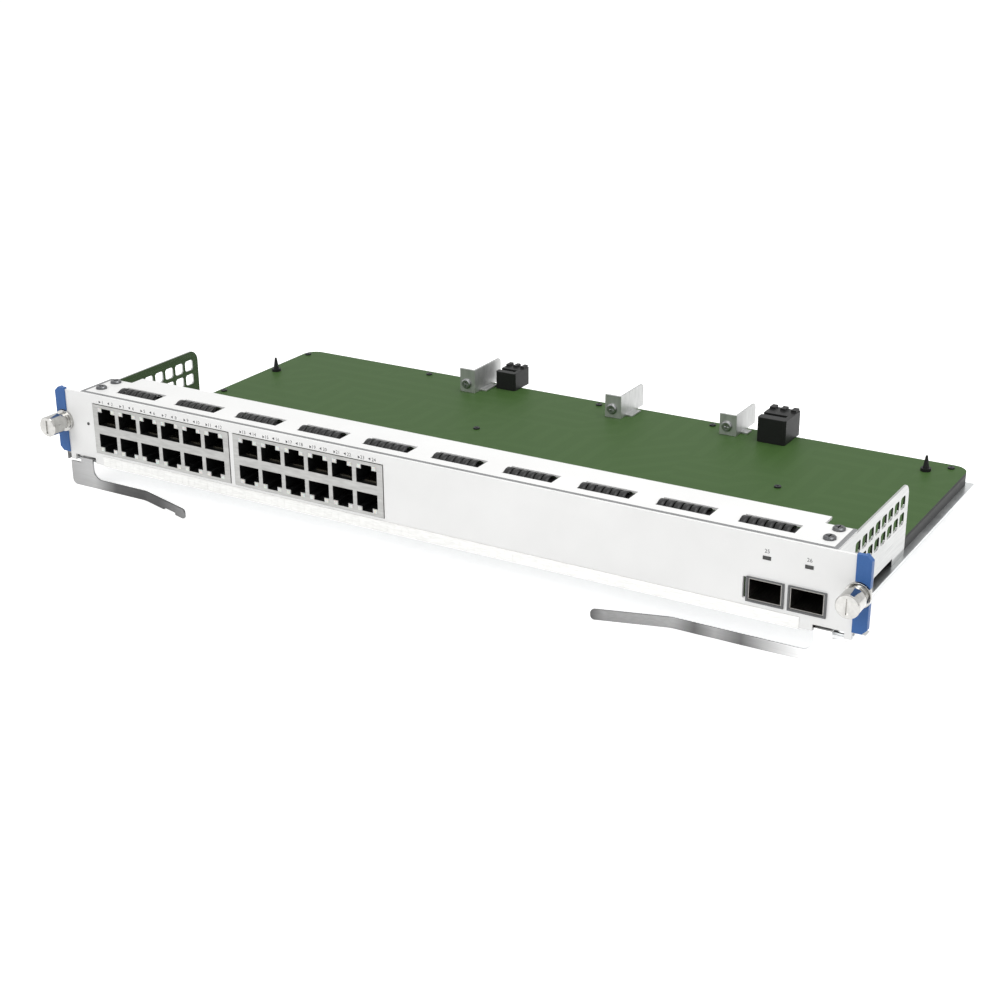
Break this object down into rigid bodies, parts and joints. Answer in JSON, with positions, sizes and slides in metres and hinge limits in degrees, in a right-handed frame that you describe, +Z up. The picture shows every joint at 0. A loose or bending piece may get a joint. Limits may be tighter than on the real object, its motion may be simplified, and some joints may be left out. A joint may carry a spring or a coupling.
{
  "type": "network switch line card",
  "caption": "Rack switch line card: white faceplate with stacked network jacks, transceiver cages, captive screws and ejector levers, before a green board on a tray.",
  "frame": {"origin": "middle of the faceplate's front face", "axes": "+X right along the faceplate seen from the front, +Y back into the chassis, +Z up"},
  "size_m": [0.4414, 0.2205, 0.0526],
  "materials": {
    "panel_white": "matt off-white powder coat",
    "galvanised": "pale zinc-plated sheet",
    "gasket_grey": "woven conductive gasket",
    "spring_dark": "dark plated spring strip",
    "spring_bright": "bright spring strip",
    "cap_blue": "moulded blue plastic",
    "screw_nickel": "nickel plate",
    "spring_wire": "drawn wire",
    "lever_steel": "satin stainless sheet",
    "board_green": "green solder mask",
    "rail_black": "black plastic",
    "jack_black": "black moulding",
    "jack_shield": "tin-plated shell",
    "contact_gold": "gold flash",
    "light_clear": "milky light pipe",
    "lens_dark": "unlit lens",
    "cage_metal": "nickel-plated cage",
    "collar_dark": "conductive elastomer",
    "bracket_metal": "bright sheet",
    "guide_black": "black moulding",
    "connector_grey": "pale connector moulding",
    "chip_black": "moulded package",
    "sink_aluminium": "extruded",
    "screw_steel": "zinc plate"
  },
  "bodies": {
    "card": {"backplane_connector_1": "connector_grey", "backplane_connector_2": "connector_grey", "backplane_connector_3": "connector_grey", "board_post_left": "guide_black", "board_post_right": "guide_black", "board_screws": "screw_steel", "bottom_gasket": "spring_bright", "bracket_screws": "screw_steel", "cage_collar_left": "collar_dark", "cage_collar_right": "collar_dark", "cage_left": "cage_metal", "cage_right": "cage_metal", "circuit_board": "board_green", "contact_springs": "spring_dark", "edge_socket_left": "guide_black", "edge_socket_right": "guide_black", "end_cap_lower_left": "cap_blue", "end_cap_lower_right": "cap_blue", "end_cap_upper_left": "cap_blue", "end_cap_upper_right": "cap_blue", "faceplate": "panel_white", "ferrule_left": "screw_nickel", "ferrule_right": "screw_nickel", "flange_screws": "screw_steel", "guide_module_left": "guide_black", "guide_module_right": "guide_black", "heat_sink": "sink_aluminium", "jack_body_left": "jack_black", "jack_body_right": "jack_black", "jack_contacts_left": "contact_gold", "jack_contacts_right": "contact_gold", "jack_lights_left": "light_clear", "jack_lights_right": "light_clear", "jack_shell_left": "jack_shield", "jack_shell_right": "jack_shield", "lever_rivets": "screw_steel", "light_lenses": "lens_dark", "phy_chips": "chip_black", "rear_bracket_1": "bracket_metal", "rear_bracket_2": "bracket_metal", "rear_bracket_3": "bracket_metal", "screw_spring_left": "spring_wire", "screw_spring_right": "spring_wire", "side_plate_left": "galvanised", "side_plate_right": "galvanised", "side_rail_left": "rail_black", "side_rail_right": "rail_black", "standoffs": "screw_steel", "switch_chip": "chip_black", "top_flange": "panel_white", "top_gasket": "gasket_grey", "tray": "galvanised"},
    "lever_arm_left": {"lever_left": "lever_steel"},
    "lever_arm_right": {"lever_right": "lever_steel"},
    "screw_seat_left": {"spring_seat_left": "screw_nickel"},
    "screw_seat_right": {"spring_seat_right": "screw_nickel"},
    "screw_knob_left": {"knob_left": "screw_nickel", "screw_shank_left": "screw_nickel"},
    "screw_knob_right": {"knob_right": "screw_nickel", "screw_shank_right": "screw_nickel"}
  },
  "joints": [
    {"name": "ejector_lever_left", "type": "hinge", "parent": "card", "child": "lever_arm_left", "pos_m": [-0.2085, 0.005, -0.017], "axis": [0, 0, -1], "range_deg": [0, 45]},
    {"name": "captive_screw_travel_left", "type": "slide", "parent": "card", "child": "screw_seat_left", "axis": [0, 1, 0], "range_m": [0, 0.004], "stiffness_N_per_m": 400, "springref_m": -0.003, "deforming": ["screw_spring_left"]},
    {"name": "captive_screw_turn_left", "type": "hinge", "parent": "screw_seat_left", "child": "screw_knob_left", "pos_m": [-0.215, -0.009, 0.002], "axis": [0, 1, 0], "continuous": true},
    {"name": "ejector_lever_right", "type": "hinge", "parent": "card", "child": "lever_arm_right", "pos_m": [0.2085, 0.005, -0.017], "axis": [0, 0, 1], "range_deg": [0, 45]},
    {"name": "captive_screw_travel_right", "type": "slide", "parent": "card", "child": "screw_seat_right", "axis": [0, 1, 0], "range_m": [0, 0.004], "stiffness_N_per_m": 400, "springref_m": -0.003, "deforming": ["screw_spring_right"]},
    {"name": "captive_screw_turn_right", "type": "hinge", "parent": "screw_seat_right", "child": "screw_knob_right", "pos_m": [0.215, -0.009, 0.002], "axis": [0, 1, 0], "continuous": true}
  ]
}
